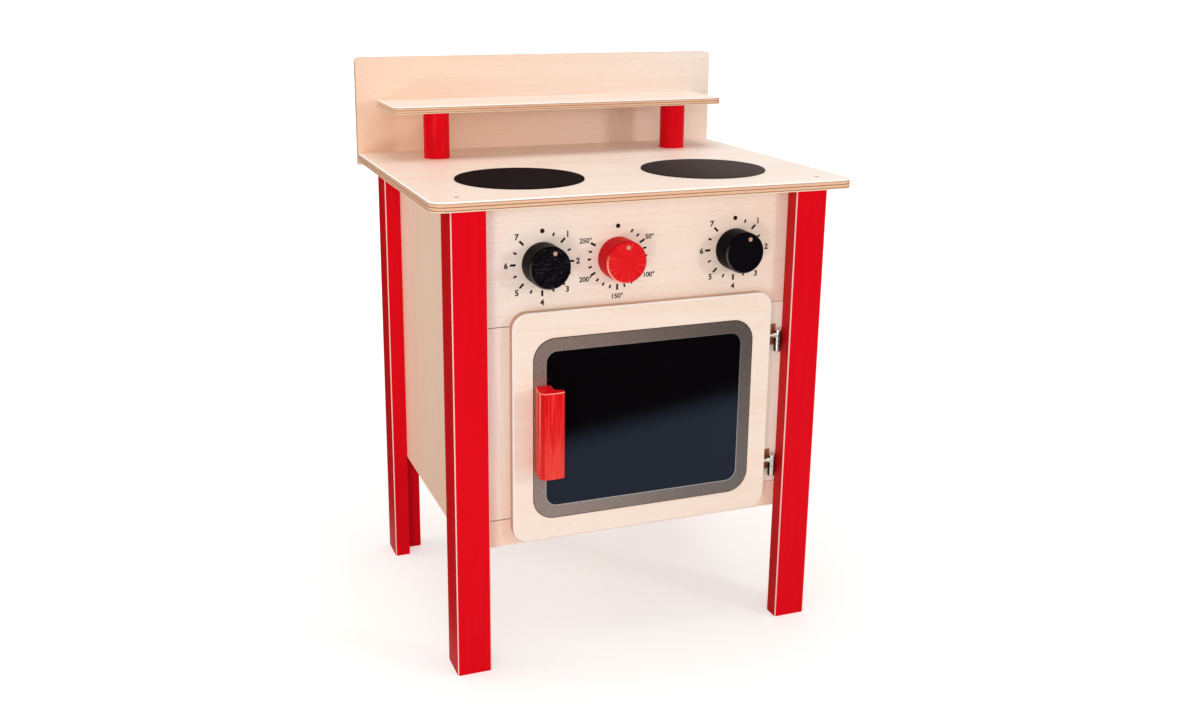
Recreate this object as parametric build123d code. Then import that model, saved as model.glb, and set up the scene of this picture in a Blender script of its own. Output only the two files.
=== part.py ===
from build123d import *
import os

# Toy oven: a play stove on four L-shaped legs. All sizes are in millimetres.
# X runs to the right, Y to the back and Z up. The origin is on the floor, under the middle of
# the whole oven's box.

# Stand
stand_width = 415.0             # over the outer faces of the legs
stand_depth = 335.0             # over the front and rear faces of the legs
work_height = 510.0             # floor to the top of the worktop
leg_board = 18.0                # thickness of the boards that a leg is made of
leg_face_width = 37.0           # width of the board that faces the front or the back
leg_side_depth = 38.0           # depth of the whole L, face board included
leg_edge_round = 1.5            # sanded long edges of the leg boards

# Worktop, backboard and shelf
worktop_thickness = 10.0
worktop_overhang_side = 22.5    # past the legs, on each side
worktop_overhang_front = 17.0   # past the front legs
worktop_corner_radius = 15.0    # the two front corners, seen from above
worktop_edge_round = 2.0
backboard_thickness = 10.0
backboard_height = 126.0
backboard_drop = 14.0           # from the top of the worktop to the backboard's lower edge
backboard_corner_radius = 6.0
board_edge_round = 1.5          # sanded edges of the backboard, shelf and door rear
shelf_width = 410.0
shelf_depth = 90.0
shelf_thickness = 8.0
shelf_corner_radius = 11.0
post_diameter = 30.0
post_height = 54.0              # clear height between worktop and shelf
post_inset = 55.0               # from the shelf's end to the middle of a post
post_setback = 27.0             # from the shelf's front edge to the middle of a post

# Hob discs
hob_diameter = 137.0
hob_thickness = 1.2
hob_edge_chamfer = 0.4
hob_spacing = 213.0
hob_setback = 113.0             # from the worktop's front edge to the middle of a disc

# Cabinet
panel_thickness = 10.0
cabinet_clearance = 133.0       # floor to the underside of the cabinet
control_panel_height = 127.0
bottom_rail_height = 30.0
stile_width = 60.0

# Door
door_thickness = 10.0
door_gap = 0.5                  # between the door and the frame behind it
door_lap_top = 15.0             # how far the door covers the frame round the oven's mouth
door_lap_bottom = 24.6
door_lap_left = 14.0
door_hinge_space = 19.0         # between the door's edge and the leg
door_corner_radius = 17.0
door_edge_round = 2.0
window_margin_side = 22.0       # wood left showing round the window
window_margin_top = 28.0
window_margin_bottom = 23.0
window_corner_radius = 24.0
window_frame_width = 14.7
window_sheet = 3.0              # thickness of the grey frame and of the pane
window_fit = 0.15               # gap round the grey frame and round the pane
pane_corner_radius = 12.0
pane_ledge = 6.0                # wood behind the pane's rim

# Handle: a moulding with a foot on the door and a lip to pull
handle_length = 93.0
handle_depth = 26.5             # out from the door's front
handle_foot = 16.0              # width of the foot against the door
handle_lip = 8.0                # how far the lip stands past the foot
handle_finger_depth = 16.0      # between the door and the back of the lip
handle_flare = 2.7              # how far the outer side leans out
handle_crown = 1.5              # how far the front bows out
handle_outer_radius = 7.0
handle_lip_radius = 3.5
handle_hollow_radius = 3.0
handle_end_round = 1.0
handle_inset = 24.5             # from the door's edge to the foot
handle_screw_spacing = 60.0

# Hinges: round barrels on studs that are driven into the door's edge and into the leg
hinge_barrel_diameter = 8.0
hinge_barrel_length = 25.0      # both halves together
hinge_split = 0.4               # between the two halves
hinge_pin_diameter = 4.0
hinge_pin_clearance = 0.05      # radial, in the half that turns
hinge_pin_play = 0.3            # above the pin
hinge_cap_thickness = 1.5       # closed end of each half
hinge_cap_height = 2.4          # from a barrel's end to the groove below its cap
hinge_cap_round = 1.3
hinge_groove = 0.5              # width and depth of the groove
hinge_collar_diameter = 9.4     # ring on the leg's half, at the split
hinge_collar_height = 0.9
hinge_stud_diameter = 4.5
hinge_flare_diameter = 7.4      # of the cone where a stud leaves the barrel
hinge_flare_start = 2.0         # from the hinge's axis to the wide end of the cone
hinge_flare_length = 4.5
hinge_stud_door_depth = 17.0    # how deep a stud goes into the door
hinge_stud_leg_depth = 14.0     # how deep a stud goes into the leg
hinge_standoff = 7.5            # from the leg to the hinge's axis
hinge_inset_top = 57.5          # from the door's top edge to the middle of the upper hinge
hinge_inset_bottom = 46.0

# Magnetic catch
catch_diameter = 10.0
catch_magnet_length = 4.0
catch_plate_thickness = 2.0

# Controls
knob_diameter = 44.0
knob_height = 25.0
knob_edge_round = 2.5
knob_lift = 0.8                 # between the knob and the panel
knob_above_opening = 63.2       # from the control panel's lower edge to the middle of a knob
knob_spacing = 216.0            # between the left and the right knob
knob_middle_offset = 26.0       # the oven knob stands left of the middle by this
knob_dot_diameter = 4.5
knob_dot_depth = 6.0
knob_dot_radius = 15.5          # from the knob's middle to the dot
axle_diameter = 12.0
axle_clearance = 0.08           # radial, in the control panel
axle_seat_depth = 15.0          # how deep the axle sits in the knob
washer_diameter = 24.0
washer_thickness = 2.5
washer_play = 0.6               # between the washer and the control panel
knob_turns = {"left": 18.0, "middle": 4.0, "right": 20.0}   # degrees clockwise, as left standing

# Dowels and screws
worktop_dowel_diameter = 5.5
worktop_dowel_length = 45.0
panel_dowel_diameter = 6.0
panel_dowel_length = 16.0
panel_dowel_side_depth = 6.0    # how deep a dowel goes into a side panel
panel_dowel_inset = 50.0        # from the front and back panels
post_dowel_diameter = 8.0
post_dowel_length = 25.0
post_dowel_shelf_depth = 5.0
screw_shank = 3.5
screw_head = 7.0
screw_head_height = 2.4
screw_head_round = 0.8
screw_slot_width = 0.8
screw_slot_length = 4.0
screw_slot_depth = 1.2
screw_clearance = 0.2           # radial, in the board that a screw passes through
leg_screw_length = 22.0
backboard_screw_length = 30.0
post_screw_length = 35.0
handle_screw_length = 22.0
knob_screw_length = 16.0
back_screw_inset = 70.0         # from the back panel's top and bottom to its screws
backboard_screw_inset = 50.0    # from the worktop's and the shelf's ends to the first screws
low_screw_count = 4             # into the worktop
high_screw_count = 3            # into the shelf

# Where the pieces meet, worked out from the sizes above
handle_reach = handle_depth + door_gap + door_thickness - leg_board
front_reach = max(handle_reach, worktop_overhang_front)
leg_front = (front_reach - stand_depth - backboard_thickness) / 2
leg_back = leg_front + stand_depth
leg_outer = stand_width / 2
leg_inner = leg_outer - leg_face_width
leg_height = work_height - worktop_thickness
cabinet_side = leg_outer - leg_board
cabinet_inside = cabinet_side - panel_thickness
frame_front = leg_front + leg_board
frame_back = frame_front + panel_thickness
back_panel_back = leg_back - leg_board
back_panel_front = back_panel_back - panel_thickness
mouth_bottom = cabinet_clearance + bottom_rail_height
mouth_top = leg_height - control_panel_height
mouth_side = cabinet_side - stile_width
worktop_side = leg_outer + worktop_overhang_side
worktop_front = leg_front - worktop_overhang_front
backboard_back = leg_back + backboard_thickness
backboard_bottom = work_height - backboard_drop
shelf_bottom = work_height + post_height
shelf_top = shelf_bottom + shelf_thickness
shelf_front = leg_back - shelf_depth
post_x = shelf_width / 2 - post_inset
post_y = shelf_front + post_setback
hob_y = worktop_front + hob_setback
door_back = frame_front - door_gap
door_front = door_back - door_thickness
door_left = -mouth_side - door_lap_left
door_right = leg_inner - door_hinge_space
door_bottom = mouth_bottom - door_lap_bottom
door_top = mouth_top + door_lap_top
door_middle = (door_bottom + door_top) / 2
window_left = door_left + window_margin_side
window_right = door_right - window_margin_side
window_bottom = door_bottom + window_margin_bottom
window_top = door_top - window_margin_top
window_back = door_front + window_sheet
foot_left = door_left + handle_inset
foot_middle = foot_left + handle_foot / 2
hinge_x = leg_inner - hinge_standoff
hinge_y = (door_front + door_back) / 2
hinge_heights = {"upper": door_top - hinge_inset_top, "lower": door_bottom + hinge_inset_bottom}
catch_x = (door_left - mouth_side) / 2
knob_z = mouth_top + knob_above_opening
knob_places = {"left": -knob_spacing / 2, "middle": -knob_middle_offset, "right": knob_spacing / 2}
knob_back = frame_front - knob_lift
knob_front = knob_back - knob_height
axle_front = knob_back - axle_seat_depth
axle_back = frame_back + washer_play

largest_corner = 0.45           # a plate's corner radius is at most this share of its width and height
left, right = -1, 1
sides = {"left": left, "right": right}
front, back = -1, 1
to_front = (0, -1, 0)
to_back = (0, 1, 0)
to_left = (-1, 0, 0)
to_right = (1, 0, 0)
up = (0, 0, 1)
down = (0, 0, -1)

pieces = {}


def board(x0, x1, y0, y1, z0, z1):
    # A plain board between two opposite corners.
    return Pos((x0 + x1) / 2, (y0 + y1) / 2, (z0 + z1) / 2) * Box(abs(x1 - x0), abs(y1 - y0), abs(z1 - z0))


def upright_plate(x0, x1, y0, y1, z0, z1, radius):
    # A board that faces the front, with its four corners rounded.
    width, height = x1 - x0, z1 - z0
    radius = min(radius, largest_corner * width, largest_corner * height)
    outline = Plane.XZ * RectangleRounded(width, height, radius)
    return Pos((x0 + x1) / 2, y1, (z0 + z1) / 2) * extrude(outline, y1 - y0)


def placed(shape, point, direction):
    # A shape drawn up the Z axis from the origin, turned to a direction and moved to a point.
    return Plane(origin=point, z_dir=direction) * shape


def rod(point, direction, length, diameter):
    return placed(Pos(0, 0, length / 2) * Cylinder(diameter / 2, length), point, direction)


def screw_slots():
    # The cross in a screw's head, cut down from the origin into the head.
    slot = Pos(0, 0, screw_slot_depth / 2) * Box(screw_slot_length, screw_slot_width, screw_slot_depth)
    return slot + Rot(0, 0, 90) * slot


def pan_screw(point, direction, length):
    # The head stands on the surface at the point, and the shank runs on from it.
    head = Pos(0, 0, -screw_head_height / 2) * Cylinder(screw_head / 2, screw_head_height)
    head = fillet(head.edges().sort_by(Axis.Z)[0], screw_head_round)
    head = head - Pos(0, 0, -screw_head_height) * screw_slots()
    return placed(head, point, direction) + rod(point, direction, length, screw_shank)


def screw_cone():
    return Pos(0, 0, screw_head_height / 2) * Cone(screw_head / 2, screw_shank / 2, screw_head_height)


def flat_screw(point, direction, length):
    # A countersunk screw: its head is flush with the surface at the point.
    shank = Pos(0, 0, length / 2) * Cylinder(screw_shank / 2, length)
    return placed(screw_cone() + shank - screw_slots(), point, direction)


def screw_hole(point, direction, thickness):
    # The clearance hole in the board that a screw passes through.
    return rod(point, direction, thickness, screw_shank + 2 * screw_clearance)


def countersunk_hole(point, direction, thickness):
    return placed(screw_cone(), point, direction) + screw_hole(point, direction, thickness)


def cut(shape, tools):
    for tool in tools:
        shape = shape - tool
    return shape


def softened(shape, edges, radius):
    return fillet(edges, radius) if radius > 0 else shape


def rim_edges(face, axis):
    # The edges round a face, but for the one that lies farthest along the axis.
    return face.edges().sort_by(axis)[:-1]


# Legs: each is an L of two boards, one that faces the front or back and one at the side
def leg_boards(side, end):
    outer = side * leg_outer
    face = board(outer, side * leg_inner, *leg_face_span(end), 0, leg_height)
    face = softened(face, outward_edges(face, end), leg_edge_round)
    flank = board(outer, side * cabinet_side, *leg_flank_span(end), 0, leg_height)
    corner = flank.edges().filter_by(Axis.Z).sort_by(Axis.Y)
    inward = corner[2:] if end == front else corner[:2]
    flank = softened(flank, inward.sort_by(Axis.X)[0 if side == left else -1], leg_edge_round)
    return face, flank


def leg_face_span(end):
    return (leg_front, frame_front) if end == front else (back_panel_back, leg_back)


def leg_flank_span(end):
    if end == front:
        return frame_front, leg_front + leg_side_depth
    return leg_back - leg_side_depth, back_panel_back


def outward_edges(face, end):
    # The two long edges of a face board on its outer face.
    uprights = face.edges().filter_by(Axis.Z).sort_by(Axis.Y)
    return uprights[:2] if end == front else uprights[2:]


# Screws and dowels of the stand, each as the point it starts from and the way it goes
screw_x = (leg_inner + cabinet_inside) / 2
frame_screw_heights = {
    "control_panel": (mouth_top + leg_height) / 2,
    "stile": (mouth_bottom + mouth_top) / 2,
    "bottom_rail": (cabinet_clearance + mouth_bottom - panel_thickness) / 2,
}
back_screw_heights = (cabinet_clearance + back_screw_inset, leg_height - back_screw_inset)


def frame_screw_point(side, piece):
    return (side * screw_x, frame_back, frame_screw_heights[piece])


def back_screw_points(side):
    return [(side * screw_x, back_panel_front, z) for z in back_screw_heights]


front_screw_points = {
    side: [frame_screw_point(side, piece) for piece in frame_screw_heights] for side in (left, right)
}
leg_screws = {}
for side in (left, right):
    leg_screws[side, front] = [pan_screw(p, to_front, leg_screw_length) for p in front_screw_points[side]]
    leg_screws[side, back] = [pan_screw(p, to_back, leg_screw_length) for p in back_screw_points(side)]


def worktop_dowel(side, end):
    x = side * (leg_outer - leg_board / 2)
    y = leg_front + leg_board / 2 if end == front else leg_back - leg_board / 2
    return rod((x, y, work_height), down, worktop_dowel_length, worktop_dowel_diameter)


worktop_dowels = {(side, end): worktop_dowel(side, end) for side in (left, right) for end in (front, back)}


def hinge_stud(height, direction, reach):
    middle = (hinge_x, hinge_y, height)
    cone = Cone(hinge_flare_diameter / 2, hinge_stud_diameter / 2, hinge_flare_length)
    flare = placed(Pos(0, 0, hinge_flare_start + hinge_flare_length / 2) * cone, middle, direction)
    return rod(middle, direction, reach, hinge_stud_diameter) + flare


def stud_height(name, half):
    # The door's half of a hinge is above the split, and the leg's half below it.
    return hinge_heights[name] + half * hinge_barrel_length / 4


door_studs = [
    hinge_stud(stud_height(name, 1), to_left, hinge_x - door_right + hinge_stud_door_depth)
    for name in hinge_heights
]
leg_studs = [
    hinge_stud(stud_height(name, -1), to_right, hinge_standoff + hinge_stud_leg_depth)
    for name in hinge_heights
]

for side_name, side in sides.items():
    for end_name, end in {"front": front, "rear": back}.items():
        face, flank = leg_boards(side, end)
        face = cut(face, leg_screws[side, end] + [worktop_dowels[side, end]])
        if side == right and end == front:
            face = cut(face, leg_studs)
        pieces[f"{end_name}_{side_name}_leg_face"] = face
        pieces[f"{end_name}_{side_name}_leg_side"] = flank

# Worktop, with a round at both rims and round front corners
worktop = board(-worktop_side, worktop_side, worktop_front, leg_back, leg_height, work_height)
worktop = fillet(worktop.edges().filter_by(Axis.Z).sort_by(Axis.Y)[:2], worktop_corner_radius)
worktop = softened(worktop, rim_edges(worktop.faces().sort_by(Axis.Z)[-1], Axis.Y), worktop_edge_round)


# Shelf posts, with a screw from under the worktop and a dowel into the shelf
def post_screw_point(side):
    return (side * post_x, post_y, leg_height)


def post_screw(side):
    return flat_screw(post_screw_point(side), up, post_screw_length)


def post_dowel(side):
    foot = (side * post_x, post_y, shelf_bottom + post_dowel_shelf_depth)
    return rod(foot, down, post_dowel_length, post_dowel_diameter)


post_screws = [post_screw(side) for side in (left, right)]
post_dowels = [post_dowel(side) for side in (left, right)]
for side_name, side in sides.items():
    post = rod((side * post_x, post_y, work_height), up, post_height, post_diameter)
    pieces[f"{side_name}_shelf_post"] = cut(post, [post_screw(side), post_dowel(side)])

def even_places(end, count):
    # Places along X, evenly from one end to the other.
    return [end * (2 * number / (count - 1) - 1) for number in range(count)]


# Screws through the backboard, into the worktop's and the shelf's rear edges
low_screw_x = worktop_side - backboard_screw_inset
high_screw_x = shelf_width / 2 - backboard_screw_inset
low_screw_z = leg_height + worktop_thickness / 2
high_screw_z = shelf_bottom + shelf_thickness / 2
backboard_screw_points = [(x, backboard_back, low_screw_z) for x in even_places(low_screw_x, low_screw_count)]
backboard_screw_points += [(x, backboard_back, high_screw_z) for x in even_places(high_screw_x, high_screw_count)]
backboard_screws = [flat_screw(p, to_front, backboard_screw_length) for p in backboard_screw_points]

post_holes = [countersunk_hole(post_screw_point(side), up, worktop_thickness) for side in (left, right)]
pieces["worktop"] = cut(worktop, list(worktop_dowels.values()) + post_holes + backboard_screws)

backboard = board(
    -worktop_side, worktop_side, leg_back, backboard_back, backboard_bottom, backboard_bottom + backboard_height
)
backboard = fillet(backboard.edges().filter_by(Axis.Y).sort_by(Axis.Z)[2:], backboard_corner_radius)
for face in backboard.faces().sort_by(Axis.Y)[0], backboard.faces().sort_by(Axis.Y)[-1]:
    backboard = softened(backboard, rim_edges(face, -Axis.Z), board_edge_round)
backboard_holes = [countersunk_hole(p, to_front, backboard_thickness) for p in backboard_screw_points]
pieces["backboard"] = cut(backboard, backboard_holes)

shelf = board(-shelf_width / 2, shelf_width / 2, shelf_front, leg_back, shelf_bottom, shelf_top)
shelf = fillet(shelf.edges().filter_by(Axis.Z).sort_by(Axis.Y)[:2], shelf_corner_radius)
for face in shelf.faces().sort_by(Axis.Z)[0], shelf.faces().sort_by(Axis.Z)[-1]:
    shelf = softened(shelf, rim_edges(face, Axis.Y), board_edge_round)
pieces["shelf"] = cut(shelf, backboard_screws + post_dowels)

for side_name, side in sides.items():
    disc = rod((side * hob_spacing / 2, hob_y, work_height), up, hob_thickness, hob_diameter)
    pieces[f"{side_name}_hob_disc"] = chamfer(disc.edges().sort_by(Axis.Z)[-1], hob_edge_chamfer)

# Front frame: the control panel, two stiles and the bottom rail
frame_boards = {
    "control_panel": (-cabinet_side, cabinet_side, mouth_top, leg_height),
    "left_stile": (-cabinet_side, -mouth_side, mouth_bottom, mouth_top),
    "right_stile": (mouth_side, cabinet_side, mouth_bottom, mouth_top),
    "bottom_rail": (-cabinet_side, cabinet_side, cabinet_clearance, mouth_bottom),
}
front_holes = []
for side in (left, right):
    front_holes += [screw_hole(p, to_front, panel_thickness) for p in front_screw_points[side]]
magnet = rod((catch_x, frame_front, door_middle), to_back, catch_magnet_length, catch_diameter)
bore_diameter = axle_diameter + 2 * axle_clearance
axle_bores = [rod((x, frame_front, knob_z), to_back, panel_thickness, bore_diameter) for x in knob_places.values()]
for name, (x0, x1, z0, z1) in frame_boards.items():
    piece = cut(board(x0, x1, frame_front, frame_back, z0, z1), front_holes)
    if name == "control_panel":
        piece = cut(piece, axle_bores)
    if name == "left_stile":
        piece = piece - magnet
    pieces[name] = piece
pieces["catch_magnet"] = magnet

# Side and back panels, oven floor and oven ceiling
shelf_heights = {"oven_floor": mouth_bottom - panel_thickness, "oven_ceiling": mouth_top}
dowel_ys = (frame_back + panel_dowel_inset, back_panel_front - panel_dowel_inset)


def panel_dowels(side):
    start = side * (cabinet_inside + panel_dowel_side_depth)
    way = to_left if side == right else to_right
    heights = [z + panel_thickness / 2 for z in shelf_heights.values()]
    return [rod((start, y, z), way, panel_dowel_length, panel_dowel_diameter) for y in dowel_ys for z in heights]


for side_name, side in sides.items():
    panel = board(side * cabinet_inside, side * cabinet_side, frame_back, back_panel_front,
                  cabinet_clearance, leg_height)
    pieces[f"{side_name}_side_panel"] = cut(panel, panel_dowels(side))

back_panel = board(-cabinet_side, cabinet_side, back_panel_front, back_panel_back, cabinet_clearance, leg_height)
for side in (left, right):
    back_panel = cut(back_panel, [screw_hole(p, to_back, panel_thickness) for p in back_screw_points(side)])
pieces["back_panel"] = back_panel

for name, z in shelf_heights.items():
    piece = board(-cabinet_inside, cabinet_inside, frame_back, back_panel_front, z, z + panel_thickness)
    pieces[name] = cut(piece, panel_dowels(left) + panel_dowels(right))

pieces["panel_dowels"] = panel_dowels(left) + panel_dowels(right)
pieces["worktop_dowels"] = list(worktop_dowels.values())
pieces["shelf_post_dowels"] = post_dowels
pieces["shelf_post_screws"] = post_screws
pieces["backboard_screws"] = backboard_screws
pieces["leg_screws"] = [screw for group in leg_screws.values() for screw in group]

# Handle, drawn in plan from the foot's outer corner and then raised
front_line = handle_depth - handle_crown
lip_end = handle_foot + handle_lip
crown_x = (lip_end - handle_flare) / 2
outline = [
    Line((0, 0), (handle_foot, 0)),
    Line((handle_foot, 0), (handle_foot, -handle_finger_depth)),
    Line((handle_foot, -handle_finger_depth), (lip_end, -handle_finger_depth)),
    Line((lip_end, -handle_finger_depth), (lip_end, -front_line)),
    ThreePointArc((lip_end, -front_line), (crown_x, -handle_depth), (-handle_flare, -front_line)),
    Line((-handle_flare, -front_line), (-handle_flare, -handle_finger_depth)),
    Line((-handle_flare, -handle_finger_depth), (0, 0)),
]
handle_bottom = door_middle - handle_length / 2
profile = make_face(Curve() + outline)


def rounded_at(sketch, x, y, radius):
    # The corner of a flat outline that is nearest a point, rounded.
    corner = sketch.vertices().sort_by_distance((x, y, 0))[0]
    return fillet(corner, radius)


profile = rounded_at(profile, handle_foot, -handle_finger_depth, handle_hollow_radius)
profile = rounded_at(profile, lip_end, -handle_finger_depth, handle_lip_radius)
profile = rounded_at(profile, lip_end, -front_line, handle_lip_radius)
profile = rounded_at(profile, -handle_flare, -front_line, handle_outer_radius)
handle = Pos(foot_left, door_front, handle_bottom) * extrude(profile, handle_length)
for face in handle.faces().sort_by(Axis.Z)[0], handle.faces().sort_by(Axis.Z)[-1]:
    handle = softened(handle, rim_edges(face, Axis.Y), handle_end_round)
handle_screw_points = [
    (foot_middle, door_back, door_middle + side * handle_screw_spacing / 2) for side in (left, right)
]
handle_screws = [flat_screw(p, to_front, handle_screw_length) for p in handle_screw_points]
pieces["door_handle"] = cut(handle, handle_screws)
pieces["handle_screws"] = handle_screws

# Door, with a recess for the grey frame and the pane and an opening behind the pane
handle_holes = [countersunk_hole(p, to_front, door_thickness) for p in handle_screw_points]
catch_plate = rod((catch_x, door_back, door_middle), to_front, catch_plate_thickness, catch_diameter)


def window_plate(inset, y0, y1, radius):
    return upright_plate(
        window_left + inset, window_right - inset, y0, y1, window_bottom + inset, window_top - inset, radius
    )


opening_inset = window_frame_width + pane_ledge
opening_radius = max(pane_corner_radius - pane_ledge, window_sheet)
door = upright_plate(door_left, door_right, door_front, door_back, door_bottom, door_top, door_corner_radius)
door = softened(door, door.faces().sort_by(Axis.Y)[0].edges(), door_edge_round)
door = softened(door, door.faces().sort_by(Axis.Y)[-1].edges(), board_edge_round)
door = door - window_plate(0, door_front, window_back, window_corner_radius)
door = door - window_plate(opening_inset, door_front, door_back, opening_radius)
door = cut(door, handle_holes + door_studs + [catch_plate])
pieces["door_panel"] = door
pieces["catch_plate"] = catch_plate

grey_frame = window_plate(window_fit, door_front, window_back, window_corner_radius)
grey_frame = grey_frame - window_plate(window_frame_width, door_front, window_back, pane_corner_radius)
pieces["window_frame"] = cut(grey_frame, handle_holes)
pane = window_plate(window_frame_width + window_fit, door_front, window_back, pane_corner_radius)
pieces["window_pane"] = cut(pane, handle_holes)


# Hinges: the pin is held in the leg's half and turns in the door's half
def hinge_half(name, half, stud, bore):
    length = (hinge_barrel_length - hinge_split) / 2
    start = (hinge_x, hinge_y, hinge_heights[name] + half * hinge_split / 2)
    way = up if half > 0 else down
    barrel = rod(start, way, length, hinge_barrel_diameter)
    barrel = fillet(barrel.edges().sort_by(Axis.Z)[-1 if half > 0 else 0], hinge_cap_round)
    groove = Cylinder(hinge_barrel_diameter / 2, hinge_groove)
    groove = groove - Cylinder(hinge_barrel_diameter / 2 - hinge_groove, hinge_groove)
    barrel = barrel - placed(Pos(0, 0, length - hinge_cap_height - hinge_groove / 2) * groove, start, way)
    if half < 0:
        barrel = barrel + rod(start, way, hinge_collar_height, hinge_collar_diameter)
    return barrel + stud - rod(start, way, length - hinge_cap_thickness, bore)


turning_bore = hinge_pin_diameter + 2 * hinge_pin_clearance
for number, (name, height) in enumerate(hinge_heights.items()):
    pieces[f"{name}_hinge_door_half"] = hinge_half(name, 1, door_studs[number], turning_bore)
    pieces[f"{name}_hinge_leg_half"] = hinge_half(name, -1, leg_studs[number], hinge_pin_diameter)
    pin_foot = (hinge_x, hinge_y, height - hinge_barrel_length / 2 + hinge_cap_thickness)
    pin_length = hinge_barrel_length - 2 * hinge_cap_thickness - hinge_pin_play
    pieces[f"{name}_hinge_pin"] = rod(pin_foot, up, pin_length, hinge_pin_diameter)

# Knobs: each turns on a dowel through the control panel, held by a washer and a screw inside
for name, x in knob_places.items():
    turn = Pos(x, 0, knob_z) * Rot(0, knob_turns[name], 0)
    knob = rod((0, knob_back, 0), to_front, knob_height, knob_diameter)
    knob = fillet(knob.edges().sort_by(Axis.Y)[0], knob_edge_round)
    dot = rod((0, knob_front, knob_dot_radius), to_back, knob_dot_depth, knob_dot_diameter)
    axle = rod((0, axle_front, 0), to_back, axle_back - axle_front, axle_diameter)
    washer = rod((0, axle_back, 0), to_back, washer_thickness, washer_diameter)
    head_seat = (0, axle_back + washer_thickness, 0)
    knob_screw = pan_screw(head_seat, to_front, knob_screw_length)
    pieces[f"{name}_knob"] = turn * (knob - dot - axle)
    pieces[f"{name}_knob_dot"] = turn * dot
    pieces[f"{name}_knob_axle"] = turn * (axle - knob_screw)
    pieces[f"{name}_knob_washer"] = turn * (washer - screw_hole(head_seat, to_front, washer_thickness))
    pieces[f"{name}_knob_screw"] = turn * knob_screw

os.makedirs("parts", exist_ok=True)
for name, piece in pieces.items():
    solids = piece if isinstance(piece, list) else [piece]
    export_step(Compound(children=[s for solid in solids for s in solid.solids()]), f"parts/{name}.step")
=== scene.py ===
import bmesh
import bpy
import math
from mathutils import Matrix, Vector


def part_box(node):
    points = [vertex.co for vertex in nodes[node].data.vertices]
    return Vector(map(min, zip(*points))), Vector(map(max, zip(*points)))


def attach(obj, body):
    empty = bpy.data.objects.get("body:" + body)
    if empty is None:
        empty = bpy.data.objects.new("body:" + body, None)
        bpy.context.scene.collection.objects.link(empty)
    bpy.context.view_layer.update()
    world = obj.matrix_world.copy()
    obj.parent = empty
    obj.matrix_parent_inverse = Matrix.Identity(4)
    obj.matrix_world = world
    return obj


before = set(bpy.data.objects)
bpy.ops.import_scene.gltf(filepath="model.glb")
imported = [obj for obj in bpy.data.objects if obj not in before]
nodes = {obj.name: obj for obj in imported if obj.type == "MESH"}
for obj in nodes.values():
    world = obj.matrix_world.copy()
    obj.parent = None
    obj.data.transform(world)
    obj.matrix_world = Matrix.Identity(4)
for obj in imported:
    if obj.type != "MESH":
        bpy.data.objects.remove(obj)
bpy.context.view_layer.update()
print("toy oven: the packed frame is in, with", len(nodes), "nodes")

sideAxis, depthAxis, upAxis = 0, 1, 2   # the frame's X, Y and Z


# Small tools for building node trees
def paint(red, green, blue):
    # A colour as it looks on a screen, 0 to 255, made linear for the shader.
    def linear(level):
        level = level / 255
        return level / 12.92 if level <= 0.04045 else ((level + 0.055) / 1.055) ** 2.4
    return (linear(red), linear(green), linear(blue), 1.0)


def wire(tree, value, socket):
    if isinstance(value, bpy.types.NodeSocket):
        tree.links.new(value, socket)
    else:
        socket.default_value = value


def addNode(tree, kind, inputs=None, **settings):
    made = tree.nodes.new(kind)
    for key, value in settings.items():
        setattr(made, key, value)
    for key, value in (inputs or {}).items():
        wire(tree, value, made.inputs[key])
    return made


def maths(tree, operation, first, second=0.0, third=0.0, clamp=False):
    inputs = {0: first, 1: second, 2: third}
    return addNode(tree, "ShaderNodeMath", inputs, operation=operation, use_clamp=clamp).outputs[0]


def times(tree, first, second):
    return maths(tree, "MULTIPLY", first, second)


def blended(tree, first, second, share):
    # A share of the first value, and the rest of the second.
    return maths(tree, "ADD", times(tree, first, share), times(tree, second, 1 - share))


def gapTo(tree, value, level):
    return maths(tree, "ABSOLUTE", maths(tree, "SUBTRACT", value, level))


def vectorMaths(tree, operation, first, second=(0, 0, 0)):
    return addNode(tree, "ShaderNodeVectorMath", {0: first, 1: second}, operation=operation).outputs


def rescale(tree, value, low, high, start=0.0, end=1.0):
    inputs = {"Value": value, "From Min": start, "From Max": end, "To Min": low, "To Max": high}
    return addNode(tree, "ShaderNodeMapRange", inputs).outputs["Result"]


def smoothStep(tree, value, low, high):
    inputs = {"Value": value, "From Min": low, "From Max": high}
    return addNode(tree, "ShaderNodeMapRange", inputs, interpolation_type="SMOOTHSTEP").outputs["Result"]


def between(tree, value, rise, fall):
    # Full between two soft steps, each given by where it is 0 and where it is 1.
    return times(tree, smoothStep(tree, value, *rise), smoothStep(tree, value, *fall))


def mixColour(tree, factor, first, second):
    return addNode(tree, "ShaderNodeMix", {0: factor, 6: first, 7: second}, data_type="RGBA").outputs[2]


def colourRamp(tree, factor, stops, interpolation="LINEAR"):
    made = addNode(tree, "ShaderNodeValToRGB", {"Fac": factor})
    made.color_ramp.interpolation = interpolation
    while len(made.color_ramp.elements) < len(stops):
        made.color_ramp.elements.new(1.0)
    for element, (place, colour) in zip(made.color_ramp.elements, stops):
        element.position = place
        element.color = colour
    return made.outputs["Color"]


def stretched(tree, vector, scale, offset=(0, 0, 0)):
    made = addNode(tree, "ShaderNodeMapping", {"Vector": vector, "Scale": scale, "Location": offset})
    return made.outputs["Vector"]


def noise(tree, vector, scale=1.0, detail=3.0, roughness=0.5, distortion=0.0):
    inputs = {"Vector": vector, "Scale": scale, "Detail": detail, "Roughness": roughness,
              "Distortion": distortion}
    return addNode(tree, "ShaderNodeTexNoise", inputs).outputs["Fac"]


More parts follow.
